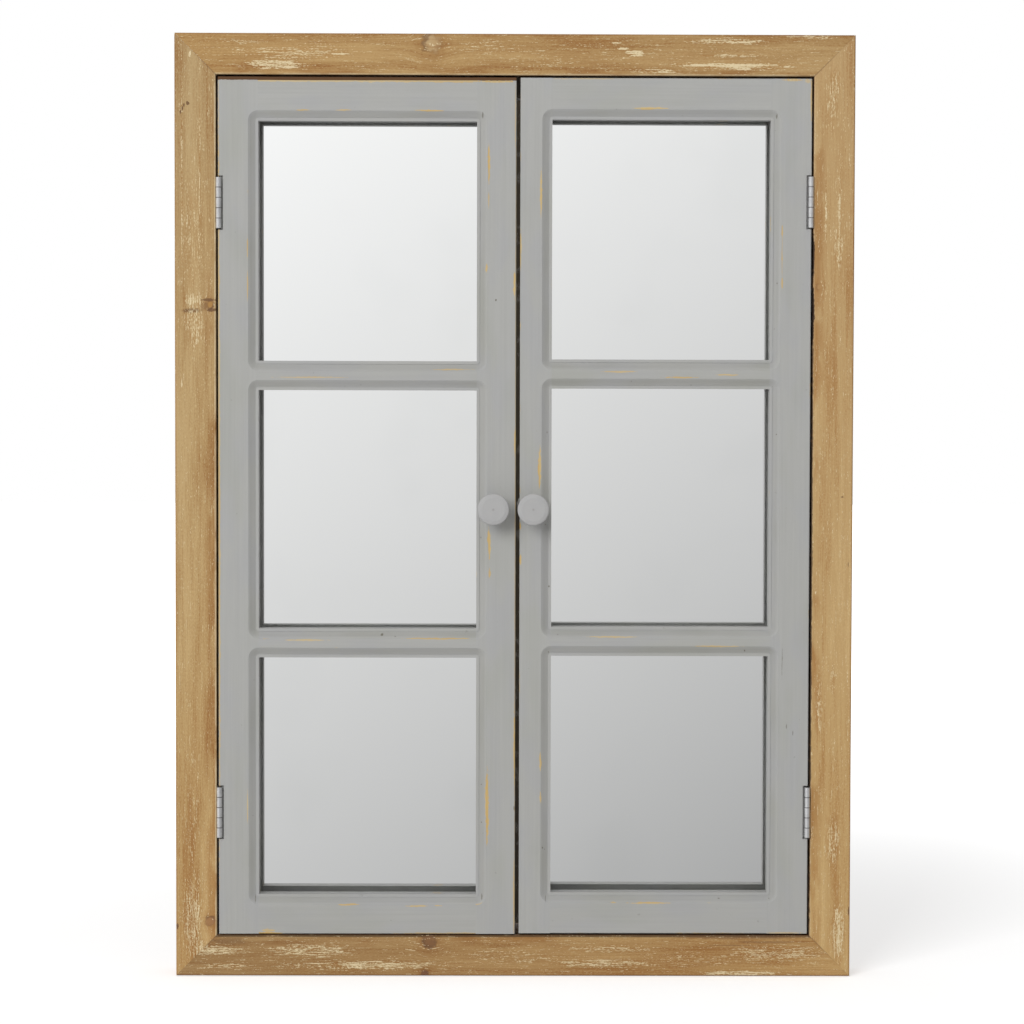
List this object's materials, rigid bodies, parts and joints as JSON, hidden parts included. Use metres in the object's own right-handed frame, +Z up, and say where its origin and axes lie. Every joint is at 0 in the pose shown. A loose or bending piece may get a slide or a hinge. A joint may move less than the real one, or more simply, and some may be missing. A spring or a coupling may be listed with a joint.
{
  "type": "shutter mirror",
  "caption": "Wall mirror in a mitred wood frame, seen through two hinged shutter doors with three open lights each.",
  "frame": {"origin": "on the wall plane, midway between the entry holes of the two keyhole hangers", "axes": "+Z up the height of the frame, +X to the right as seen from the front, +Y from the front to the wall, so the front faces -Y"},
  "size_m": [0.503, 0.056, 0.7],
  "materials": {
    "fir_wood": "honey-brown fir with knots and cream whitewash rubbed into the grain, satin",
    "grey_paint": "brushed grey chalk paint on wood, rubbed through to ochre along the edges, matt",
    "mirror_glass": "clear silvered float glass",
    "hardboard": "brown hardboard, mesh-textured",
    "zinc_plate": "dull zinc plate",
    "bright_steel": "bright plated steel",
    "catch_steel": "dark bronze lacquer",
    "ferrite": "matt black ferrite"
  },
  "bodies": {
    "frame": {"frame_stile_left": "fir_wood", "frame_stile_right": "fir_wood", "frame_rail_top": "fir_wood", "frame_rail_bottom": "fir_wood", "frame_corner_nails": "bright_steel", "mirror_glass": "mirror_glass", "backing_board": "hardboard", "glazing_points": "bright_steel", "hanger_plate_left": "bright_steel", "hanger_plate_right": "bright_steel", "hanger_screws": "bright_steel", "left_upper_hinge_frame_leaf": "zinc_plate", "left_lower_hinge_frame_leaf": "zinc_plate", "right_upper_hinge_frame_leaf": "zinc_plate", "right_lower_hinge_frame_leaf": "zinc_plate", "left_upper_hinge_pin": "zinc_plate", "left_lower_hinge_pin": "zinc_plate", "right_upper_hinge_pin": "zinc_plate", "right_lower_hinge_pin": "zinc_plate", "frame_leaf_screws": "bright_steel", "catch_housing": "catch_steel", "catch_magnets": "ferrite", "catch_pole_plates": "bright_steel", "catch_screws": "bright_steel"},
    "left_door": {"left_hinge_stile": "grey_paint", "left_meeting_stile": "grey_paint", "left_top_rail": "grey_paint", "left_bottom_rail": "grey_paint", "left_upper_bar": "grey_paint", "left_lower_bar": "grey_paint", "left_upper_hinge_door_leaf": "zinc_plate", "left_lower_hinge_door_leaf": "zinc_plate", "left_door_leaf_screws": "bright_steel", "left_knob": "grey_paint", "left_knob_screw": "bright_steel", "left_strike_plate": "bright_steel", "left_strike_screw": "bright_steel"},
    "right_door": {"right_hinge_stile": "grey_paint", "right_meeting_stile": "grey_paint", "right_top_rail": "grey_paint", "right_bottom_rail": "grey_paint", "right_upper_bar": "grey_paint", "right_lower_bar": "grey_paint", "right_upper_hinge_door_leaf": "zinc_plate", "right_lower_hinge_door_leaf": "zinc_plate", "right_door_leaf_screws": "bright_steel", "right_knob": "grey_paint", "right_knob_screw": "bright_steel", "right_strike_plate": "bright_steel", "right_strike_screw": "bright_steel"}
  },
  "joints": [
    {"name": "left_door_hinge", "type": "hinge", "parent": "frame", "child": "left_door", "pos_m": [-0.21905, -0.0358, -0.24], "axis": [0, 0, -1], "range_deg": [0, 175]},
    {"name": "right_door_hinge", "type": "hinge", "parent": "frame", "child": "right_door", "pos_m": [0.21905, -0.0358, -0.24], "axis": [0, 0, 1], "range_deg": [0, 175]}
  ]
}
